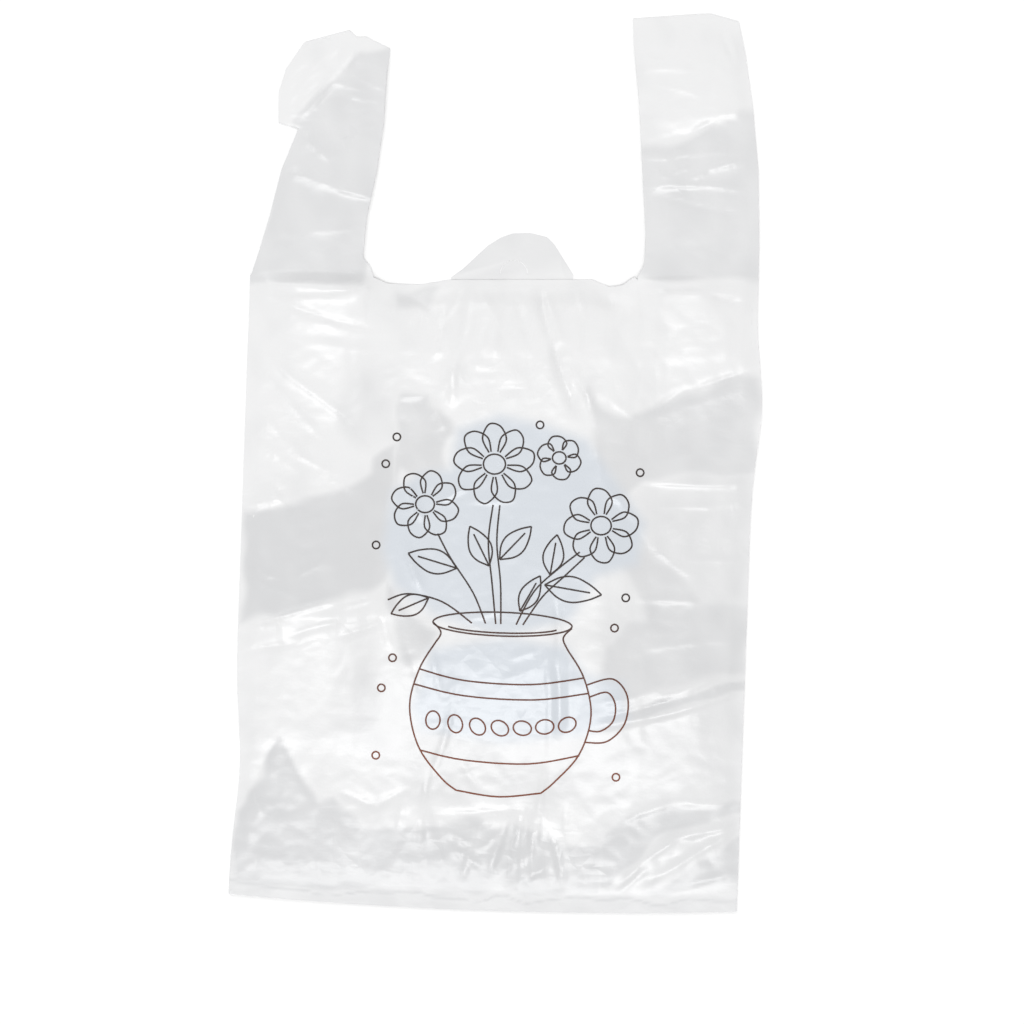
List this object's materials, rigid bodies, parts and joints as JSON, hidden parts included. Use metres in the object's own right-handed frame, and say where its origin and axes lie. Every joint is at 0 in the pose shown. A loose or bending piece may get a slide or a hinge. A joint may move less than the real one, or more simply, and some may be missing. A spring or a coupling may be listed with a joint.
{
  "type": "plastic carrier bag",
  "caption": "Vest-shaped carrier bag of thin white plastic film with side gussets, loop handles, a welded bottom and a torn hanging tab, lying flat and lightly creased.",
  "frame": {"origin": "middle of the bag's underside, on the surface that it lies on", "axes": "+Y from the bottom weld towards the handles, +X across the bag to the right, +Z out of the printed front panel"},
  "size_m": [0.3044, 0.5334, 0.0136],
  "materials": {
    "film": "thin glossy film"
  },
  "bodies": {
    "root": {"carrier_bag": "film"}
  },
  "joints": []
}
